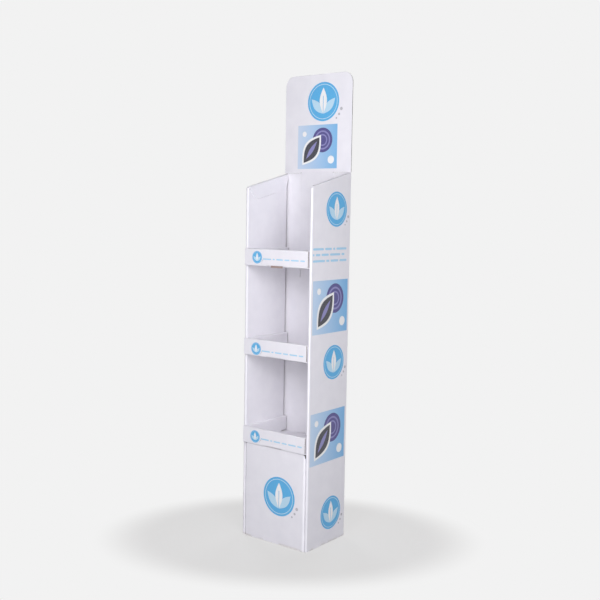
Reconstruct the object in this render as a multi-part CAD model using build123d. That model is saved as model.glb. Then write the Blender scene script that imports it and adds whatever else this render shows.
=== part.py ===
from build123d import *
import math
import os

# Cardboard floor display stand with shelf trays, in millimetres.
# The origin is the centre of the body's footprint on the floor, -Y is the open front, +Z is up.
# Every piece is one folded or flat sheet of single-wall corrugated board.

os.makedirs("parts", exist_ok=True)

# Board
board = 3.0               # thickness of the board, liner to liner
crease = 0.5              # inner radius of a creased fold
lie = 0.4                 # gap between two boards that lie against each other
play = 0.5                # clearance round a tab in its slot

# Body
body_width = 300.0        # outside, left to right
body_depth = 232.0        # outside, front to back
top_room = 219.5          # side walls at the front, above the lip of the top tray
top_slope = 14.0          # degrees that the side walls rise towards the back
wall = 11.0               # thickness of a double side wall and width of its front edge
edge_fold = 2.0           # inner radius of the two rounded folds of a front edge
corner_gap = 8.0          # between the inner side panels and the back panel
flap_drop = 54.0          # depth of a top flap, square to the slope
flap_tab = 100.0          # tuck tab that locks the lower edge of a top flap in a slot
flap_tab_start = 40.0     # from the front, along the slope
flap_tab_reach = 6.0      # past the face of the inner side panel
flap_mitre = 35.0         # run of the slanted ends of a top flap
notch_height = 890.0      # small notch in the rear edge of the inner side panels
notch_radius = 3.0

# Header card
header_overhang = 1.0     # past each side of the body
header_height = 357.0     # above the shoulders
header_corner = 38.0      # radius of the top corners
header_seat = 0.6         # shoulders above the back panel
tongue_width = 143.0
tongue_reach = 14.0       # below the underside of the top tray
tongue_corner = 12.0
relief = 2.5              # radius of the holes where the shoulders meet the tongue
score = 0.5               # depth of the scored line across the tongue

# Shelf trays
first_floor = 352.5       # underside of the bottom tray
tray_pitch = 326.0
tray_names = ("bottom_tray", "middle_tray", "top_tray")
tab_drops = (-2.0, 0.0, 4.0)    # reach of the front tab below the underside of each tray
lip_height = 61.0         # from the underside of the tray
front_roll = 10.0         # thickness of the rolled front lip, all of it ahead of the body
lip_spread = 4.0          # front lip past each side of the tray, over the body's front edges
side_roll = 11.5          # thickness of a rolled side lip
tray_play = 0.5           # between a tray and the inner side panels, each side
rear_room = 4.0           # between a tray's rear edge and the back panel, for the header tongue
lock_width = 79.0         # slot in the lower fold of the front lip
lock_tip = 54.0           # narrower end of the tab in that slot, below the floor of the tray
side_lock = 60.0          # tab at the foot of a side lip
foot_relief = 4.5         # height of the notch at the rear foot of a side lip
foot_length = 30.0
corner_tab = 40.0         # tabs of the front lip inside the side lips
tab_height = 46.0

# Rear flaps of a tray, each with a hook through the back panel
tongue_play = 1.5         # between a flap and the header tongue
flap_inset = 2.5          # from the side of the tray
flap_taper = 36.0         # height of the slanted edge
flap_depth = 51.0         # underside of the hook below the underside of the tray
hook_width = 16.0
slot_room = 1.0           # beside a hook in its slot

# Side hooks of a tray, each in a slot of the inner side panel
side_hook = 40.0
side_reach = 5.0          # past the face of the inner side panel
side_station = -20.0      # middle of the hook, front to back

# Kick panel
kick_seat = 0.5           # between the kick panel and the bottom tray
kick_proud = 2.0          # ahead of the body's front edges
kick_fold = 5.0           # inner radius of the wide side folds
kick_corner = 16.0        # radius of the upper corners
kick_flange = 76.0        # depth of the side flanges
kick_shelf = 60.0         # depth of the top flange under the bottom tray

# Base tray and riser
base_wall = 60.0
base_tab = 45.0
riser_play = 1.0

# Derived places
slant = 1 / math.cos(math.radians(top_slope))
rise = math.tan(math.radians(top_slope))
bend = crease + board / 2
turn = crease + board
floors = [first_floor + tray_pitch * i for i in range(len(tray_names))]
half_width = body_width / 2
front = -body_depth / 2
back = body_depth / 2
front_height = floors[-1] + lip_height + top_room
back_height = front_height + body_depth * rise
shoulder = back_height + header_seat
inner_face = half_width - wall
tab_front = flap_tab_start
tab_rear = flap_tab_start + flap_tab
tab_level = board / 2 - flap_drop
back_face = back - board
inner_rear = back_face - corner_gap
tray_half = inner_face - tray_play
tray_rear = back_face - rear_room
lip_face = front - front_roll
lip_half = tray_half + lip_spread
flap_face = back_face - lie
flap_inner = tongue_width / 2 + tongue_play
flap_outer = tray_half - flap_inset
kick_height = first_floor - kick_seat
kick_face = front - kick_proud
kick_side = inner_face - tray_play
base_side = kick_side - board - lie
base_front = kick_face + board + lie
base_rear = flap_face


def folded(*points, radius=bend):
    """Section of a folded board whose middle line runs through the points, with rounded folds."""
    return trace(FilletPolyline(*points, radius=radius), line_width=board)


def outline(*points):
    """Flat outline through the points."""
    return make_face(Polyline(*points, close=True))


def across(section, left, right):
    """A section in Y and Z, drawn out from left to right."""
    return extrude(Plane.YZ.offset(left) * section, right - left)


def along(section, start, end):
    """A section in X and Z, drawn out from front to back."""
    return extrude(Plane.XZ.offset(-end) * section, end - start)


def block(x0, x1, y0, y1, z0, z1):
    """A box between two corners."""
    place = Location(((x0 + x1) / 2, (y0 + y1) / 2, (z0 + z1) / 2))
    return place * Box(x1 - x0, y1 - y0, z1 - z0)


def both_sides(solid):
    """A solid and its mirror image on the other side of the stand."""
    return solid + mirror(solid, about=Plane.YZ)


def slope(y, drop=0.0):
    """Height of the sloping top at a place from front to back, lowered square to the slope."""
    return front_height + (y - front) * rise - drop * slant


def above_slope(start, end, drop):
    """Outline of everything above the lowered slope between two places."""
    tall = 2 * front_height
    return outline((start, slope(start, drop)), (end, slope(end, drop)), (end, tall), (start, tall))


def down_slope(section, start, end):
    """A section square to the sloping top, drawn out between two distances along the slope."""
    lead = Vector(0, 1, rise).normalized()
    plane = Plane(origin=Vector(0, front, front_height) + lead * end, x_dir=(1, 0, 0), z_dir=-lead)
    return extrude(plane * section, end - start)


def beside_slope(section, depth):
    """An outline along and square to the sloping top, drawn out from the middle to the right."""
    plane = Plane(origin=(0, front, front_height), x_dir=(0, 1, rise), z_dir=(1, 0, 0))
    return extrude(plane * section, depth)


def top_flap(start, end):
    """Right-hand top flap: it leaves the outer side, rolls over the wall and hangs inside it."""
    outer = half_width - board / 2
    inner = inner_face - lie - board / 2
    length = body_depth * slant
    over = folded((outer, -wall), (outer, -board / 2), (inner, -board / 2), (inner, -flap_drop))
    flap = down_slope(over, -2 * wall, length + 2 * wall)
    flap &= block(0, body_width, start, end, 0, 2 * front_height)
    # Both ends of the hanging leaf are cut on the slant.
    low = -flap_drop - board
    for near, far, past in ((0, flap_mitre, -wall), (length, length - flap_mitre, length + wall)):
        waste = outline((past, -turn), (near, -turn), (far, -flap_drop), (far, low), (past, low))
        flap -= beside_slope(waste, inner_face - lie / 2)
    # Its tuck tab leaves the lower edge and turns out through the inner side panel.
    root = board / 2 + turn - flap_drop
    flap -= beside_slope(
        outline((tab_front, low), (tab_front, root), (tab_rear, root), (tab_rear, low)),
        inner_face - lie / 2,
    )
    tuck = folded((inner, root), (inner, tab_level), (inner_face + flap_tab_reach, tab_level))
    return flap + down_slope(tuck, tab_front, tab_rear)


def body_slots():
    """Slots for the hooks of every tray and for the tuck tabs, and the notches in the inner sides."""
    slots = Part()
    hook_x = flap_inner + hook_width / 2
    hook_half = hook_width / 2 + slot_room
    half_hook = side_hook / 2 + play
    for floor in floors:
        hook_z = floor - flap_depth
        slots += block(
            hook_x - hook_half, hook_x + hook_half, back_face - board, back + board,
            hook_z - play, hook_z + board + play,
        )
        slots += block(
            inner_face - board, inner_face + board + 1, side_station - half_hook,
            side_station + half_hook, floor - play, floor + board + play,
        )
    mouth = Pos(inner_face + board / 2, tab_level) * Rectangle(2 * board, board + 2 * play)
    slots += down_slope(mouth, tab_front - play, tab_rear + play)
    notch = Pos(inner_face + board / 2, inner_rear, notch_height)
    slots += notch * Rot(0, 90, 0) * Cylinder(notch_radius, 2 * board)
    return both_sides(slots)


def body_shell():
    """Back, outer sides, front edges, inner sides and top flaps, folded from one sheet."""
    outer = half_width - board / 2
    inner = inner_face + board / 2
    fore = front + board / 2
    rear = back - board / 2
    wide = edge_fold + board / 2
    plan = folded(
        (-inner, inner_rear), (-inner, fore), (-outer, fore), (-outer, rear),
        (outer, rear), (outer, fore), (inner, fore), (inner, inner_rear),
        radius=[wide, wide, bend, bend, wide, wide],
    )
    shell = extrude(plan, back_height)
    # The walls stop below the slope, and the outer sides lower still, where the flaps begin.
    start = front + edge_fold + board
    end = back - turn
    low_tops = above_slope(front - board, end, board + lie)
    flap_roots = above_slope(start, end, wall)
    shell -= across(low_tops, -body_width, body_width)
    shell -= both_sides(across(flap_roots, half_width - board, body_width))
    return shell - body_slots() + both_sides(top_flap(start, end))


def header_card():
    """Flat card with rounded top corners and a tongue that hangs inside the back panel."""
    face_y = back_face - lie - board
    half = half_width + header_overhang
    reach = tongue_width / 2
    top = shoulder + header_height
    foot = floors[-1] - tongue_reach
    card = outline((-half, shoulder), (half, shoulder), (half, top), (-half, top))
    card = fillet(card.vertices().group_by(Axis.Y)[-1], header_corner)
    tongue = outline((-reach, foot), (reach, foot), (reach, shoulder), (-reach, shoulder))
    tongue = fillet(tongue.vertices().group_by(Axis.Y)[0], tongue_corner)
    sheet = card + tongue
    for side in (-1, 1):
        sheet -= Pos(side * (reach + relief), shoulder) * Circle(relief)
    solid = along(sheet, face_y, face_y + board)
    groove = outline((face_y, shoulder - score), (face_y + score, shoulder), (face_y, shoulder + score))
    return solid - across(groove, -reach, reach)


def rear_flap(floor):
    """Right-hand rear flap of a tray: down the back panel, then back through its slot."""
    leaf = flap_face - board / 2
    low = floor - flap_depth + board / 2
    middle = floor + board / 2
    path = folded((tray_rear - front_roll, middle), (leaf, middle), (leaf, low), (back - lie, low))
    flap = across(path, flap_inner, flap_outer)
    root = floor - crease
    hook = flap_inner + hook_width
    taper = outline(
        (flap_outer, root), (hook, root - flap_taper), (hook, low - board), (body_width, low - board),
        (body_width, root),
    )
    return flap - along(taper, front, back + board)


def side_lip(floor):
    """Right-hand side lip of a tray, rolled over, with its lock tab, hook and rear notch."""
    outer = tray_half - board / 2
    inner = tray_half - side_roll + board / 2
    middle = floor + board / 2
    top = floor + lip_height - board / 2
    foot = floor + board + lie
    start = front + lie
    path = folded((inner - wall, middle), (outer, middle), (outer, top), (inner, top), (inner, foot))
    lip = along(path, start, tray_rear)
    # The hook stays level while the side folds up, so it leaves a window above it.
    hook_start = side_station - side_hook / 2
    hook_end = side_station + side_hook / 2
    window = floor + board + side_reach + board
    lip -= block(tray_half - turn, body_width, hook_start, hook_end, floor - 1, window)
    lip += block(tray_half - turn, inner_face + side_reach, hook_start, hook_end, floor, floor + board)
    # The rolled-over leaf has a tab through the floor and a notch at its rear foot.
    lock_start = side_station - side_lock / 2
    lock_end = side_station + side_lock / 2
    leaf_in = inner - board / 2
    leaf_out = inner + board / 2
    lip -= block(
        leaf_in - play, leaf_out + play, lock_start - play, lock_end + play, floor - 1, floor + board + 1,
    )
    lip += block(leaf_in, leaf_out, lock_start, lock_end, floor, floor + 2 * turn)
    lip -= block(
        leaf_in - 1, leaf_out + 1, tray_rear - foot_length, tray_rear + 1,
        floor + board + lie / 2, floor + board + foot_relief,
    )
    return lip


def front_corner(floor):
    """Right-hand tab of the front lip's rolled-over leaf, turned back into the side lip."""
    leaf = front - board / 2
    tab = tray_half - board - lie - board / 2
    middle = floor + board + tab_height / 2 + turn
    path = folded((tab - wall, leaf), (tab, leaf), (tab, front + corner_tab))
    return Pos(0, 0, middle - tab_height / 2) * extrude(path, tab_height)


def shelf_tray(floor, tab_drop):
    """Shelf tray: a floor with rolled front and side lips and two rear flaps, from one sheet."""
    middle = floor + board / 2
    top = floor + lip_height - board / 2
    outer = lip_face + board / 2
    inner = front - board / 2
    leaf_half = tray_half - board - lie - turn
    tray = across(
        folded((front - lie, middle), (outer, middle), (outer, top), (inner, top)), -lip_half, lip_half,
    )
    tray += across(
        folded((outer + turn, top), (inner, top), (inner, floor + board + lie)), -leaf_half, leaf_half,
    )
    tray += block(
        -tray_half + side_roll, tray_half - side_roll, front - lie, tray_rear, floor, floor + board,
    )
    tray += both_sides(side_lip(floor))
    tray += both_sides(front_corner(floor))
    tray += both_sides(rear_flap(floor))
    # The front leaf's tab drops into a slot along the lip's lower fold.
    half_lock = lock_width / 2
    tray -= block(-half_lock, half_lock, lip_face - 1, front + play, floor - 1, floor + turn)
    half_tab = half_lock - 3 * play
    half_tip = lock_tip / 2
    tray += block(
        -half_tab, half_tab, front - board, front, floor - min(0, tab_drop), floor + 2 * turn,
    )
    tray += block(-half_tip, half_tip, front - board, front, floor - tab_drop, floor + 2 * turn)
    return tray


def kick_panel():
    """Panel that closes the base, folded back along both sides and under the bottom tray."""
    face = kick_face + board / 2
    side = kick_side - board / 2
    wide = kick_fold + board / 2
    plan = folded(
        (-side, face + kick_flange), (-side, face), (side, face), (side, face + kick_flange), radius=wide,
    )
    panel = extrude(plan, kick_height)
    # The top folds back between the rounded upper corners, and the side flanges stop below them.
    shelf = kick_side - kick_corner
    top = kick_height - board / 2
    low = kick_height - kick_corner
    behind = kick_face + board
    panel -= block(-shelf, shelf, kick_face - 1, behind + 1, kick_height - turn, kick_height + 1)
    panel -= both_sides(block(shelf, body_width, behind, front + kick_flange, low, kick_height + 1))
    corner = outline(
        (shelf, kick_height + 1), (shelf, low), (kick_side, low), (kick_side + 1, low),
        (kick_side + 1, kick_height + 1),
    )
    corner -= Pos(shelf, low) * Circle(kick_corner)
    panel -= both_sides(along(corner, kick_face - 1, behind + 1))
    return panel + across(
        folded((face, kick_height - 2 * turn), (face, top), (face + kick_shelf, top)), -shelf, shelf,
    )


def base_tray():
    """Tray on the floor that keeps the body square, with tabs folded round its corners."""
    side = base_side - board / 2
    fore = base_front + board / 2
    rear = base_rear - board / 2
    middle = board / 2
    inset = side - board - lie
    tray = along(
        folded((-side, base_wall), (-side, middle), (side, middle), (side, base_wall)),
        fore + turn, rear - turn,
    )
    tray += across(
        folded((fore, base_wall), (fore, middle), (rear, middle), (rear, base_wall)),
        -inset + bend, inset - bend,
    )
    tab_foot = board + 2 * turn
    for end, reach in ((fore, base_tab), (rear, -base_tab)):
        path = folded((inset - wall, end), (inset, end), (inset, end + reach))
        tray += both_sides(Pos(0, 0, tab_foot) * extrude(path, base_wall - tab_foot))
    return tray


def riser_boards():
    """Two flat boards, slotted half and half into a cross that carries the bottom tray."""
    low = board + lie
    high = first_floor - lie
    waist = (low + high) / 2
    half_slot = board / 2 + play
    reach = base_side - board - riser_play
    start = base_front + board + riser_play
    end = base_rear - board - riser_play
    crosswise = block(-reach, reach, -board / 2, board / 2, low, high)
    crosswise -= block(-half_slot, half_slot, -board, board, waist - play, high + 1)
    lengthwise = block(-board / 2, board / 2, start, end, low, high)
    lengthwise -= block(-board, board, -half_slot, half_slot, low - 1, waist + play)
    # The lengthwise board is lower at the front, under the kick panel's top flange.
    shelf_end = kick_face + kick_shelf + board
    lengthwise -= block(-board, board, start - 1, shelf_end, kick_height - board - lie, high + 1)
    return crosswise, lengthwise


crosswise, lengthwise = riser_boards()
pieces = {
    "body_shell": body_shell(),
    "header_card": header_card(),
    "kick_panel": kick_panel(),
    "base_tray": base_tray(),
    "riser_crosswise": crosswise,
    "riser_lengthwise": lengthwise,
}
for name, floor, tab_drop in zip(tray_names, floors, tab_drops):
    pieces[name] = shelf_tray(floor, tab_drop)

for name, piece in pieces.items():
    export_step(piece, f"parts/{name}.step")
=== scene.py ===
import math

import bpy
from mathutils import Matrix, Vector
from mathutils.bvhtree import BVHTree


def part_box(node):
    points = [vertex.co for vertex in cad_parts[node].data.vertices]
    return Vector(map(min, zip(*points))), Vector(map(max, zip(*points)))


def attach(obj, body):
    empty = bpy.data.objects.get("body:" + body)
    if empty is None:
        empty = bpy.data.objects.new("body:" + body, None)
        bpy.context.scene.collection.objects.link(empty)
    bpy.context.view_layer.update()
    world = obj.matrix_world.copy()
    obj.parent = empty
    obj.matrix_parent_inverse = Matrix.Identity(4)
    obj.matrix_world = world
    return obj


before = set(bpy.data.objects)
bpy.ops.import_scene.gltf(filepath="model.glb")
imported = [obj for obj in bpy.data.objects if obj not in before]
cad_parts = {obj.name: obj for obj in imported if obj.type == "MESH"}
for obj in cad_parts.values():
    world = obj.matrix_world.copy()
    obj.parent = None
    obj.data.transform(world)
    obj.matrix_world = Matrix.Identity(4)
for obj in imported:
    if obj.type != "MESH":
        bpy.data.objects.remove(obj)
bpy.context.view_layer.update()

# The view
# The camera stands off the right front corner at the height of the upper tray, tipped a little down
# and rolled a little to the left. Its lens and place were fitted to the corners in the photograph.
MM = 0.001
FRAME_PX = 600
FOCAL_PX = 892.8
camera_place = Vector((1984.3, -2560.3, 1191.9)) * MM
swing, dip, roll = (math.radians(a) for a in (-37.574, 5.51, -0.95))
ahead = Vector((math.sin(swing) * math.cos(dip), math.cos(swing) * math.cos(dip), -math.sin(dip)))
level = Vector((math.cos(swing), -math.sin(swing), 0.0))
sunk = ahead.cross(level)
right = level * math.cos(roll) + sunk * math.sin(roll)
down = sunk * math.cos(roll) - level * math.sin(roll)
camera = bpy.data.objects.new("camera", bpy.data.cameras.new("camera"))
camera.data.lens = camera.data.sensor_width * FOCAL_PX / FRAME_PX
camera.matrix_world = (
    Matrix.Translation(camera_place) @ Matrix((right, -down, -ahead)).transposed().to_4x4()
)
bpy.context.scene.collection.objects.link(camera)
bpy.context.scene.camera = camera


# The white sheets
# Body, header, trays and kick panel are die-cut from single-wall corrugated board with a clay-coated
# white liner on both faces. The matt coating gives a soft low sheen, the flutes faint upright bands and
# the paper a slight cloudiness. The lower edge picks up scuffs from the floor.
FLUTE_PITCH = 6.5 * MM     # B flute
CLOUD_SIZE = 45 * MM       # paper formation, drawn coarser than the real 5 mm so that it shows
FIBRE_SIZE = 2 * MM
SCUFF_HEIGHT = 9 * MM
SCUFF_SHARE = 0.55         # of the scuff colour, at the very edge


def ink(code):
    """sRGB hex as linear colour."""
    parts = [int(code[i:i + 2], 16) / 255 for i in (1, 3, 5)]
    return [c / 12.92 if c <= 0.04045 else ((c + 0.055) / 1.055) ** 2.4 for c in parts] + [1.0]


def add(tree, kind, inputs, **settings):
    """Adds a node with its settings, input values and links."""
    node = tree.nodes.new("ShaderNode" + kind)
    for name, value in settings.items():
        setattr(node, name, value)
    for place, value in inputs.items():
        if isinstance(value, bpy.types.NodeSocket):
            tree.links.new(value, node.inputs[place])
        else:
            node.inputs[place].default_value = value
    return node


def new_material(name):
    """An empty node material with its shader and its object coordinates."""
    material = bpy.data.materials.new(name)
    material.use_nodes = True
    tree = material.node_tree
    shader = tree.nodes["Principled BSDF"]
    place = add(tree, "TexCoord", {}).outputs["Object"]
    return material, tree, shader, place


def flute_wave(tree, place):
    """The stand's axes, and a wave across the upright flutes of a sheet that faces along X or Y."""
    axes = add(tree, "SeparateXYZ", {0: place})
    along = add(tree, "Math", {0: axes.outputs["X"], 1: axes.outputs["Y"]}, operation="ADD")
    turns = add(
        tree, "Math", {0: along.outputs[0], 1: 2 * math.pi / FLUTE_PITCH}, operation="MULTIPLY",
    )
    return axes.outputs, add(tree, "Math", {0: turns.outputs[0]}, operation="SINE").outputs[0]


def coated_board(name, sheet, cloud, scuff, roughness):
    """Paper liner over flutes: cloudy colour, faint upright bands and scuffs along the floor."""
    material, tree, shader, place = new_material(name)
    axes, flutes = flute_wave(tree, place)
    clouds = add(tree, "TexNoise", {"Vector": place, "Scale": 1 / CLOUD_SIZE, "Detail": 4.0})
    fibres = add(tree, "TexNoise", {"Vector": place, "Scale": 1 / FIBRE_SIZE, "Detail": 3.0})
    shade = add(tree, "MapRange", {
        "Value": clouds.outputs["Fac"], "From Min": 0.3, "From Max": 0.7, "To Max": 0.8,
    })
    bands = add(tree, "MapRange", {"Value": flutes, "From Min": -1.0, "To Max": 0.2})
    mottle = add(tree, "Math", {0: shade.outputs[0], 1: bands.outputs[0]}, operation="ADD")
    paper = add(
        tree, "Mix", {0: mottle.outputs[0], 6: ink(sheet), 7: ink(cloud)}, data_type="RGBA",
    )
    low = add(tree, "MapRange", {
        "Value": axes["Z"], "From Max": SCUFF_HEIGHT, "To Min": SCUFF_SHARE, "To Max": 0.0,
    })
    patches = add(tree, "MapRange", {
        "Value": clouds.outputs["Fac"], "From Min": 0.45, "From Max": 0.6,
    })
    rubbed = add(tree, "Math", {0: low.outputs[0], 1: patches.outputs[0]}, operation="MULTIPLY")
    worn = add(
        tree, "Mix", {0: rubbed.outputs[0], 6: paper.outputs[2], 7: ink(scuff)}, data_type="RGBA",
    )
    gloss = add(tree, "MapRange", {
        "Value": fibres.outputs["Fac"], "To Min": roughness - 0.06, "To Max": roughness + 0.06,
    })
    grain = add(tree, "Bump", {
        "Height": fibres.outputs["Fac"], "Strength": 0.12, "Distance": 0.2 * MM,
    })
    ribbed = add(tree, "Bump", {
        "Height": flutes, "Strength": 0.25, "Distance": 0.04 * MM,
        "Normal": grain.outputs["Normal"],
    })
    tree.links.new(worn.outputs[2], shader.inputs["Base Color"])
    tree.links.new(gloss.outputs[0], shader.inputs["Roughness"])
    tree.links.new(ribbed.outputs["Normal"], shader.inputs["Normal"])
    shader.inputs["IOR"].default_value = 1.5
    return material


def make_of(board, names):
    """Gives sheets of the frame their board."""
    for name in names:
        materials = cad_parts[name].data.materials
        materials.clear()
        materials.append(board)


WHITE_NODES = ("body_shell", "header_card", "top_tray", "middle_tray", "bottom_tray", "kick_panel")
make_of(coated_board("white_coated_board", "#F0EEF2", "#EAE8ED", "#C9C2B6", 0.65), WHITE_NODES)

# The brown sheets
# The tray on the floor and the slotted cross inside the base are plain unbleached kraft board. It is
# rougher than the coated sheets, with darker fibres showing.
BROWN_NODES = ("base_tray", "riser_crosswise", "riser_lengthwise")
make_of(coated_board("brown_kraft_board", "#B18D60", "#9F7B50", "#7D6548", 0.8), BROWN_NODES)

# The cut edges
# Every sheet ends in a raw cut that shows the brown flutes between its two white liners. Flutes that
# run into the cut show as a wave, and those that run along it as one hollow; the shade in the hollows
# is painted as a dark colour. Folds, slanting cuts on a folded sheet and edges pushed into place are
# pinched shut. A paper-thin strip lies on each cut.
BOARD = 3.0 * MM
THICKEST_CUT = 1.6 * BOARD         # a cut face has more board than this behind it, and less across it
PAPER = 0.1 * MM
UP, SIDEWAYS = Vector((0, 0, 1)), Vector((1, 0, 0))
LINER_TRIES = 24                   # directions in which the nearer liner is looked for
# Looks of a cut: the hollow look paints the shade of an open flute, the wave shows flute paper between
# painted shade, and pinched shows liner only.
HOLLOW_SHADE, WAVE, PINCHED = 0.0, 1.0, 3.0
FOLDED_UP = 0.7                    # cosine from which a sheet faces along its flutes, so they stand up
ALONG_FLUTES, ACROSS_FLUTES = 0.3, 0.8     # cosine of the angle from the cut's normal to the flutes
FLUTE_SWING, FLUTE_HALF, LINER_START = 0.36, 0.16, 0.38     # shares of the board, from its middle


def nearest_liner(tree, start, normal):
    """Direction across the board at a place just inside its cut face."""
    side = normal.orthogonal().normalized()
    other = normal.cross(side)
    found = None
    for i in range(LINER_TRIES):
        turn = 2 * math.pi * i / LINER_TRIES
        hit = tree.ray_cast(start, side * math.cos(turn) + other * math.sin(turn))
        if hit[0] is not None and (found is None or hit[3] < found[3]):
            found = hit
    across = found[1] - normal * found[1].dot(normal)
    return across.normalized()


def cut_strips(node, material, flutes, fold_end, bands):
    """A piece with one thin face on each cut face of a sheet, marked with its place across it.

    A face smaller than fold_end is the end of a fold, and a sheet without folds has none. Each band of
    heights states the look of the cuts in it.
    """
    mesh = node.data
    points = [v.co.copy() for v in mesh.vertices]
    tree = BVHTree.FromPolygons(points, [list(p.vertices) for p in mesh.polygons])
    corners, faces, places = [], [], []
    for face in mesh.polygons:
        normal = face.normal.copy()
        start = face.center - normal * PAPER
        through = tree.ray_cast(start, -normal)
        if through[0] is None or through[3] < THICKEST_CUT:
            continue
        across = nearest_liner(tree, start, normal)
        up, under = tree.ray_cast(start, across), tree.ray_cast(start, -across)
        if up[0] is None or under[0] is None or up[3] + under[3] > THICKEST_CUT:
            continue
        thick = up[3] + under[3]
        along = normal.cross(across)
        axis = flutes if abs(across.dot(flutes)) < FOLDED_UP else UP
        slant = abs(normal.dot(axis))
        look = PINCHED
        if face.area >= fold_end and slant > ACROSS_FLUTES:
            look = WAVE
        elif face.area >= fold_end and (slant < ALONG_FLUTES or fold_end == 0):
            look = HOLLOW_SHADE
        for low, high, known in bands:
            if low < face.center.z < high:
                look = known
        faces.append([len(corners) + i for i in range(len(face.vertices))])
        for v in face.vertices:
            offset = points[v] - start
            corners.append(points[v] + normal * PAPER)
            places.append((points[v].dot(along), (offset.dot(across) + under[3]) / thick, look))
    strip = bpy.data.meshes.new(node.name + "_cut_edges")
    strip.from_pydata(corners, [], faces)
    mark = strip.attributes.new("cut_place", "FLOAT_VECTOR", "POINT")
    mark.data.foreach_set("vector", [c for place in places for c in place])
    strip.materials.append(material)
    piece = bpy.data.objects.new(strip.name, strip)
    bpy.context.scene.collection.objects.link(piece)
    return piece


def cut_board(name, liner, flute, hollow_shade):
    """Raw edge of corrugated board: two liners, one waving flute and hollows in painted shade."""
    material, tree, shader, place = new_material(name)
    mark = add(tree, "Attribute", {}, attribute_name="cut_place")
    axes = add(tree, "SeparateXYZ", {0: mark.outputs["Vector"]})
    turns = add(
        tree, "Math", {0: axes.outputs["X"], 1: 2 * math.pi / FLUTE_PITCH}, operation="MULTIPLY",
    )
    sine = add(tree, "Math", {0: turns.outputs[0]}, operation="SINE")
    wave = add(tree, "Math", {0: sine.outputs[0], 1: FLUTE_SWING, 2: 0.5}, operation="MULTIPLY_ADD")
    off_wave = add(tree, "Math", {0: axes.outputs["Y"], 1: wave.outputs[0]}, operation="SUBTRACT")
    near_wave = add(tree, "Math", {0: off_wave.outputs[0]}, operation="ABSOLUTE")
    off_middle = add(tree, "Math", {0: axes.outputs["Y"], 1: 0.5}, operation="SUBTRACT")
    near_edge = add(tree, "Math", {0: off_middle.outputs[0]}, operation="ABSOLUTE")
    crest = add(tree, "Math", {0: near_wave.outputs[0], 1: FLUTE_HALF}, operation="LESS_THAN")
    on_wave = add(tree, "Math", {0: crest.outputs[0], 1: axes.outputs["Z"]}, operation="MULTIPLY")
    liners = add(tree, "Math", {0: near_edge.outputs[0], 1: LINER_START}, operation="GREATER_THAN")
    pinched = add(
        tree, "Math", {0: axes.outputs["Z"], 1: (WAVE + PINCHED) / 2}, operation="GREATER_THAN",
    )
    on_liner = add(tree, "Math", {0: liners.outputs[0], 1: pinched.outputs[0]}, operation="MAXIMUM")
    # The hollows between the flutes are painted in the dark hollow colour, which stands for their
    # shade.
    core = add(
        tree, "Mix", {0: on_wave.outputs[0], 6: ink(hollow_shade), 7: ink(flute)}, data_type="RGBA",
    )
    edge = add(
        tree, "Mix", {0: on_liner.outputs[0], 6: core.outputs[2], 7: ink(liner)}, data_type="RGBA",
    )
    fibres = add(tree, "TexNoise", {"Vector": place, "Scale": 1 / FIBRE_SIZE, "Detail": 3.0})
    frayed = add(tree, "Bump", {
        "Height": fibres.outputs["Fac"], "Strength": 0.3, "Distance": 0.3 * MM,
    })
    tree.links.new(edge.outputs[2], shader.inputs["Base Color"])
    tree.links.new(frayed.outputs["Normal"], shader.inputs["Normal"])
    shader.inputs["Roughness"].default_value = 0.85
    return material


white_cut = cut_board("cut_white_board", "#ECEAEE", "#D4CCC4", "#968B84")
# The header's cut edges are painted darker than the others, liners and hollows alike: painted shade
# along the header's edges.
shaded_header_cut = cut_board("cut_header_board_shaded", "#D8D6DA", "#A89E96", "#544C47")
brown_cut = cut_board("cut_brown_board", "#AB885C", "#9F7B50", "#5E462F")
TRAYS = ("bottom_tray", "middle_tray", "top_tray")
CROSSWAYS = TRAYS + ("base_tray",)      # their flutes run from side to side
FLAT = ("header_card", "riser_crosswise", "riser_lengthwise")
FOLD_END = 12 * MM * MM                 # the small faces of a rounded fold's end

# The header's tongue is pushed into the body and each tray's hooks into slots of the back panel. The
# header's shoulders, those slots and the top of the back panel get the dark hollow look: painted shade
# for the gap under the shoulders and inside the slots.
STOREY = 326 * MM
# The hollow bands paint shade into the gap under the header's shoulders and into the slots.
BANDS = {
    "header_card": [(0.990, 1.3431, PINCHED), (1.3431, 1.3436, HOLLOW_SHADE)],
    "body_shell": [(1.3425, 1.3431, HOLLOW_SHADE)],
}
for storey, tray in enumerate(TRAYS):
    lift = storey * STOREY
    # Painted shade inside the slots of the back panel.
    BANDS["body_shell"].append((0.2984 + lift, 0.3051 + lift, HOLLOW_SHADE))
    BANDS[tray] = [(0.290 + lift, 0.347 + lift, PINCHED)]

CUTS = dict.fromkeys(WHITE_NODES, white_cut) | dict.fromkeys(BROWN_NODES, brown_cut)
CUTS["header_card"] = shaded_header_cut
for name in WHITE_NODES + BROWN_NODES:
    strips = cut_strips(
        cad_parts[name], CUTS[name],
        SIDEWAYS if name in CROSSWAYS else UP,
        0.0 if name in FLAT else FOLD_END, BANDS.get(name, ()),
    )
    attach(strips, "root")

# The header print
# Flexo inks on the coated liner: thin, slightly mottled and a little streaky where the flutes press
# back. The header carries a round sprig emblem in sky blue over a square panel that fades from left to
# right, with leaf and disc shapes in violet, charcoal and white.
LAYER = 0.1 * MM


def circle(x, z, radius, count=64):
    """Outline of a disc."""
    turns = [2 * math.pi * i / count for i in range(count)]
    return [[(x + radius * math.cos(t), z + radius * math.sin(t)) for t in turns]]


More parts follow.
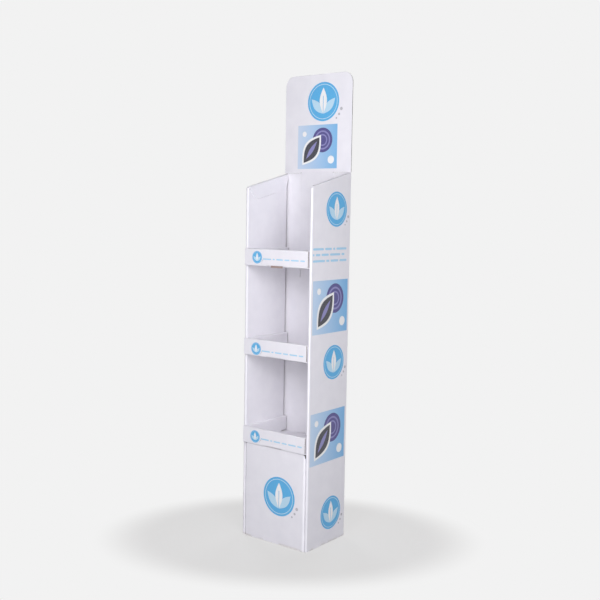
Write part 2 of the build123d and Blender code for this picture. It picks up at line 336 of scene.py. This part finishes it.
def ring(x, z, radius, width, count=64):
    """Short quads along a ring."""
    turns = [2 * math.pi * i / count for i in range(count + 1)]
    rims = [
        [(x + r * math.cos(t), z + r * math.sin(t)) for t in turns]
        for r in (radius - width / 2, radius + width / 2)
    ]
    return [[rims[0][i], rims[1][i], rims[1][i + 1], rims[0][i + 1]] for i in range(count)]


def leaf(x, z, length, width, lean, count=24):
    """Outline of a pointed leaf that grows from a place, leaning to the right by some degrees."""
    spine = [i / count for i in range(count + 1)]
    right_edge = [(width / 2 * math.sin(math.pi * t), length * t) for t in spine]
    left_edge = [(-u, v) for u, v in reversed(right_edge[1:-1])]
    c, n = math.cos(math.radians(lean)), math.sin(math.radians(lean))
    return [[(x + u * c + v * n, z - u * n + v * c) for u, v in right_edge + left_edge]]


def bar(left, right_end, z, height):
    """Outline of a bar with rounded ends."""
    r = height / 2
    turns = [math.radians(a) for a in range(-90, 91, 30)]
    ends = [(right_end - r + r * math.cos(t), z + r * math.sin(t)) for t in turns]
    ends += [(left + r - r * math.cos(t), z + r * math.sin(t)) for t in reversed(turns)]
    return [ends]


def panel(left, right_end, low, high):
    """Outline of a rectangle."""
    return [[(left, low), (right_end, low), (right_end, high), (left, high)]]


def lay_print(name, origin, across, out, motifs):
    """A thin piece of print on a flat face. In a motif, later outlines lie over earlier ones."""
    corners, faces, inks, kinds = [], [], [], []
    layers = [(LAYER * (1 + i), *layer) for motif in motifs for i, layer in enumerate(motif)]
    for height, material, outlines in layers:
        if material not in inks:
            inks.append(material)
        lift = Vector(out) * height
        for points in outlines:
            faces.append([len(corners) + i for i in range(len(points))])
            kinds.append(inks.index(material))
            for u, v in points:
                corners.append(Vector(origin) * MM + Vector(across) * u * MM + UP * v * MM + lift)
    mesh = bpy.data.meshes.new(name)
    mesh.from_pydata(corners, [], faces)
    for material in inks:
        mesh.materials.append(material)
    mesh.polygons.foreach_set("material_index", kinds)
    mesh.update()
    if mesh.polygons[0].normal.dot(Vector(out)) < 0:
        mesh.flip_normals()
    piece = bpy.data.objects.new(name, mesh)
    bpy.context.scene.collection.objects.link(piece)
    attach(piece, "root")


def printed(name, shade, fade=None):
    """Flexo ink, flat or fading to another shade between two places on one axis of the stand."""
    material, tree, shader, place = new_material(name)
    axes, flutes = flute_wave(tree, place)
    mottle = add(tree, "TexNoise", {"Vector": place, "Scale": 1 / FIBRE_SIZE, "Detail": 3.0})
    thin = add(
        tree, "Math", {0: flutes, 1: 0.05, 2: mottle.outputs["Fac"]}, operation="MULTIPLY_ADD",
    )
    light = add(tree, "MapRange", {
        "Value": thin.outputs[0], "From Min": 0.3, "From Max": 0.7, "To Max": 0.08,
    })
    colour = ink(shade)
    if fade:
        last_shade, axis, start, end = fade
        run = add(tree, "MapRange", {"Value": axes[axis], "From Min": start, "From Max": end})
        blend = add(
            tree, "Mix", {0: run.outputs[0], 6: colour, 7: ink(last_shade)}, data_type="RGBA",
        )
        colour = blend.outputs[2]
    paler = add(
        tree, "Mix", {0: light.outputs[0], 6: colour, 7: ink("#F0EFF0")}, data_type="RGBA",
    )
    grain = add(tree, "Bump", {
        "Height": mottle.outputs["Fac"], "Strength": 0.12, "Distance": 0.2 * MM,
    })
    tree.links.new(paler.outputs[2], shader.inputs["Base Color"])
    tree.links.new(grain.outputs["Normal"], shader.inputs["Normal"])
    shader.inputs["Roughness"].default_value = 0.42
    shader.inputs["IOR"].default_value = 1.5
    return material


sky_ink = printed("sky_blue_ink", "#4FADE1")
pale_ink = printed("pale_blue_ink", "#BBDDF0")
line_ink = printed("line_blue_ink", "#A6D3ED")
white_ink = printed("opaque_white_ink", "#F4F4F3")
grey_ink = printed("grey_ink", "#BDBAC0")
violet_ink = printed("violet_ink", "#453F83")
lilac_ink = printed("lilac_ink", "#8784B8")
charcoal_ink = printed("charcoal_ink", "#2C2C36")


def emblem(x, z, radius):
    """A sprig of three leaves on a sky-blue disc with a fine ring, and three grey dots beside it."""
    foot = z - 0.62 * radius
    return [
        (sky_ink, circle(x, z, radius)),
        (pale_ink, ring(x, z, 0.88 * radius, 0.035 * radius)),
        (grey_ink, [
            dot for turn, size in ((-20, 0.085), (-34, 0.065), (-46, 0.05))
            for dot in circle(
                x + 1.22 * radius * math.cos(math.radians(turn)),
                z + 1.22 * radius * math.sin(math.radians(turn)), size * radius, 20,
            )
        ]),
        (pale_ink, leaf(x, foot, 1.08 * radius, 0.42 * radius, -44)
         + leaf(x, foot, 1.08 * radius, 0.42 * radius, 44)),
        (white_ink, leaf(x, foot, 1.34 * radius, 0.46 * radius, 0)),
        (sky_ink, panel(x - 0.014 * radius, x + 0.014 * radius, foot, z + 0.3 * radius)),
    ]


def picture(left, right_end, low, high, ground):
    """A fading panel: a ringed violet disc, a charcoal leaf edged in white and a few white dots."""
    wide, tall = right_end - left, high - low
    disc_x, disc_z = left + 0.63 * wide, low + 0.65 * tall
    leaf_x, leaf_z = left + 0.12 * wide, low + 0.09 * tall
    return [
        (ground, panel(left, right_end, low, high)),
        (violet_ink, circle(disc_x, disc_z, 0.28 * tall)),
        (lilac_ink, ring(disc_x, disc_z, 0.2 * tall, 0.035 * tall)
         + ring(disc_x, disc_z, 0.12 * tall, 0.03 * tall)),
        (white_ink, leaf(leaf_x, leaf_z, 0.86 * tall, 0.46 * tall, 38)
         + circle(left + 0.17 * wide, low + 0.8 * tall, 0.06 * tall, 32)
         + circle(left + 0.85 * wide, low + 0.2 * tall, 0.09 * tall, 32)),
        (charcoal_ink, leaf(leaf_x + 0.04 * tall, leaf_z + 0.05 * tall, 0.73 * tall, 0.35 * tall, 38)),
        (lilac_ink, leaf(leaf_x + 0.11 * tall, leaf_z + 0.14 * tall, 0.5 * tall, 0.1 * tall, 38)),
    ]


header_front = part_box("header_card")[0][1] / MM
header_ground = printed("header_fading_ink", "#C9D9ED", ("#79B6E3", "X", -0.091, 0.088))
lay_print(
    "header_print", (0, header_front, 0), (1, 0, 0), (0, -1, 0),
    [emblem(22.7, 1601, 70.5), picture(-91, 88, 1359, 1518.5, header_ground)],
)

# The side prints
# Both outer sides carry the same artwork, laid out from the reader's left: an emblem at the top, in
# the middle and at the foot, three ruled lines of dashes and two fading panels.
LINE_Z = (1071, 1051, 1029.5)
LINE_DASHES = (
    (62, 40, 12, 62), (8, 26, 42, 62, 18), (70, 18, 46, 44),
)


def dashes(left, z, height, lengths, gap):
    """A line of rounded dashes."""
    outlines = []
    for length in lengths:
        outlines += bar(left, left + length, z, height)
        left += length + gap
    return outlines


side_low, side_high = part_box("body_shell")
for name, side, edge in (("right", 1, side_high[0]), ("left", -1, side_low[0])):
    fade = ("#74B3E2", "Y", -0.105 * side, 0.105 * side)
    ground = printed(name + "_side_fading_ink", "#C3D8EE", fade)
    lines = [
        outline for z, lengths in zip(LINE_Z, LINE_DASHES)
        for outline in dashes(-107, z, 7.5, lengths, 8)
    ]
    lay_print(name + "_side_print", (edge / MM, 0, 0), (0, side, 0), (side, 0, 0), [
        emblem(28.5, 1210.4, 62), emblem(27.7, 664.2, 62), emblem(26.9, 109.8, 61),
        [(line_ink, lines)],
        picture(-104, 105, 772.5, 961, ground), picture(-105, 103, 305, 492, ground),
    ])

# The tray lips
# Each rolled front lip has a small emblem at the left and one fine line of dashes beside it. The
# locking tab of the top tray hangs a little below its slot, and a flat brownish panel lies on its
# front.
LIP_Z = {"top_tray": (1035.2, 1030), "middle_tray": (705.1, 699.5), "bottom_tray": (381.9, 377.6)}
LIP_DASHES = (38, 9, 30, 22, 34, 20)
for name, (disc_z, line_z) in LIP_Z.items():
    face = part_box(name)[0][1] / MM
    lay_print(
        name + "_print", (0, face, 0), (1, 0, 0), (0, -1, 0),
        [emblem(-85, disc_z, 22.5), [(line_ink, dashes(-58, line_z, 4.5, LIP_DASHES, 7))]],
    )
# A flat brownish ink on the front of the top tray's tab, under its lip.
tab_brown = printed("tab_brown_ink", "#A58D84")
TAB_HALF, TAB_FACE, TAB_LOW, TAB_HEIGHT = 27.0, -119.0, 1000.5, 7.0
lay_print(
    "top_tray_tab_brown", (0, TAB_FACE, 0), (1, 0, 0), (0, -1, 0),
    [[(tab_brown, panel(-TAB_HALF, TAB_HALF, TAB_LOW, TAB_LOW + TAB_HEIGHT))]],
)

# The kick panel print
# The closed front of the base carries one large emblem, a little to the right of its middle. It is
# printed in the same inks as the header, before the sheet is cut and folded.
kick_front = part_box("kick_panel")[0][1] / MM
lay_print(
    "kick_panel_print", (0, kick_front, 0), (1, 0, 0), (0, -1, 0), [emblem(24.4, 177.9, 71.5)],
)

# The room
# A plain studio sweep: a pale floor with a soft round painted shade that fades into an even pale
# background; inside it the floor glows a little darker and a third of the stand's real shadow shows.
# Two pairs of slightly cool soft boxes, the upper ones the stronger, light the front and the right
# side, so that little shade falls under the trays. Two more light the back and the left side.
BACKGROUND = "#F2F2F2"
FLOOR_HALF, FLOOR_Z = 6.0, -0.5 * MM
SHADE_PLACE = (0.0, -0.02, 0.0)
SHADE_SIZE = (0.615, 0.43, 1.0)     # half its length and its depth as the camera sees it, in metres
DAYLIGHT = (0.955, 0.955, 1.0)


def seeing_rays(tree):
    """1 for a ray that comes from the camera, off gloss or through glass, and 0 for one that lights."""
    rays = add(tree, "LightPath", {})
    near = add(
        tree, "Math", {0: rays.outputs["Is Camera Ray"], 1: rays.outputs["Is Glossy Ray"]},
        operation="MAXIMUM",
    )
    both = {0: near.outputs[0], 1: rays.outputs["Is Transmission Ray"]}
    return add(tree, "Math", both, operation="MAXIMUM").outputs[0]


floor_mesh = bpy.data.meshes.new("floor")
floor_mesh.from_pydata(
    [(x * FLOOR_HALF, y * FLOOR_HALF, FLOOR_Z) for x, y in ((-1, -1), (1, -1), (1, 1), (-1, 1))],
    [], [(0, 1, 2, 3)],
)
floor = bpy.data.objects.new("floor", floor_mesh)
bpy.context.scene.collection.objects.link(floor)
floor_paint, tree, shader, place = new_material("studio_floor")
turned = add(tree, "Mapping", {
    "Vector": place, "Location": SHADE_PLACE, "Rotation": (0, 0, -swing), "Scale": SHADE_SIZE,
}, vector_type="TEXTURE")
reach = add(tree, "VectorMath", {0: turned.outputs[0]}, operation="LENGTH")
fade = add(tree, "MapRange", {
    "Value": reach.outputs["Value"], "From Min": 0.8, "From Max": 1.2,
}, interpolation_type="SMOOTHSTEP")
share = add(tree, "MapRange", {"Value": fade.outputs[0], "To Min": 0.66, "To Max": 1.0})
even = add(tree, "Math", {0: share.outputs[0], 1: seeing_rays(tree)}, operation="MULTIPLY")
# Painted shade: inside the round patch the floor's glow is a little darker than the background.
painted_shade_tint = add(
    tree, "Mix", {0: fade.outputs[0], 6: ink("#EEEDEC"), 7: ink(BACKGROUND)}, data_type="RGBA",
)
glow = add(tree, "Emission", {"Color": painted_shade_tint.outputs[2]})
shader.inputs["Base Color"].default_value = ink("#BEBEBE")
shader.inputs["Roughness"].default_value = 0.9
blend = add(tree, "MixShader", {0: even.outputs[0], 1: shader.outputs[0], 2: glow.outputs[0]})
tree.links.new(blend.outputs[0], tree.nodes["Material Output"].inputs["Surface"])
floor_mesh.materials.append(floor_paint)

world = bpy.data.worlds.new("studio")
bpy.context.scene.world = world
world.use_nodes = True
tree = world.node_tree
soft = add(tree, "Background", {"Color": ink("#FFFFFF"), "Strength": 0.04})
pale = add(tree, "Background", {"Color": ink(BACKGROUND), "Strength": 1.0})
sky = add(tree, "MixShader", {0: seeing_rays(tree), 1: soft.outputs[0], 2: pale.outputs[0]})
tree.links.new(sky.outputs[0], tree.nodes["World Output"].inputs["Surface"])


def lamp(name, turn, reach, height, aim_height, wide, tall, power):
    """A soft box aimed at the stand's axis, at a bearing in degrees from its front to its right."""
    light = bpy.data.lights.new(name, "AREA")
    light.shape = "RECTANGLE"
    light.size, light.size_y = wide, tall
    light.energy = power
    light.color = DAYLIGHT
    bearing = math.radians(turn)
    spot = Vector((reach * math.sin(bearing), -reach * math.cos(bearing), height))
    box = bpy.data.objects.new(name, light)
    box.location = spot
    box.rotation_euler = (Vector((0, 0, aim_height)) - spot).to_track_quat("-Z", "Y").to_euler()
    box.visible_camera = False
    bpy.context.scene.collection.objects.link(box)


lamp("front", 20, 2.4, 1.9, 1.45, 1.0, 1.0, 27.4)
lamp("front_low", 14, 2.4, 0.8, 0.8, 1.2, 1.0, 10.4)
lamp("side", 60, 2.4, 1.9, 1.45, 1.0, 1.0, 21.8)
lamp("side_low", 52, 2.4, 0.9, 0.9, 1.0, 1.0, 17.6)
lamp("back", 190, 3.0, 1.8, 0.9, 1.4, 1.4, 37.7)
lamp("left", 238, 3.0, 1.8, 0.9, 1.4, 1.4, 44.0)

bpy.context.scene.view_settings.view_transform = "Standard"
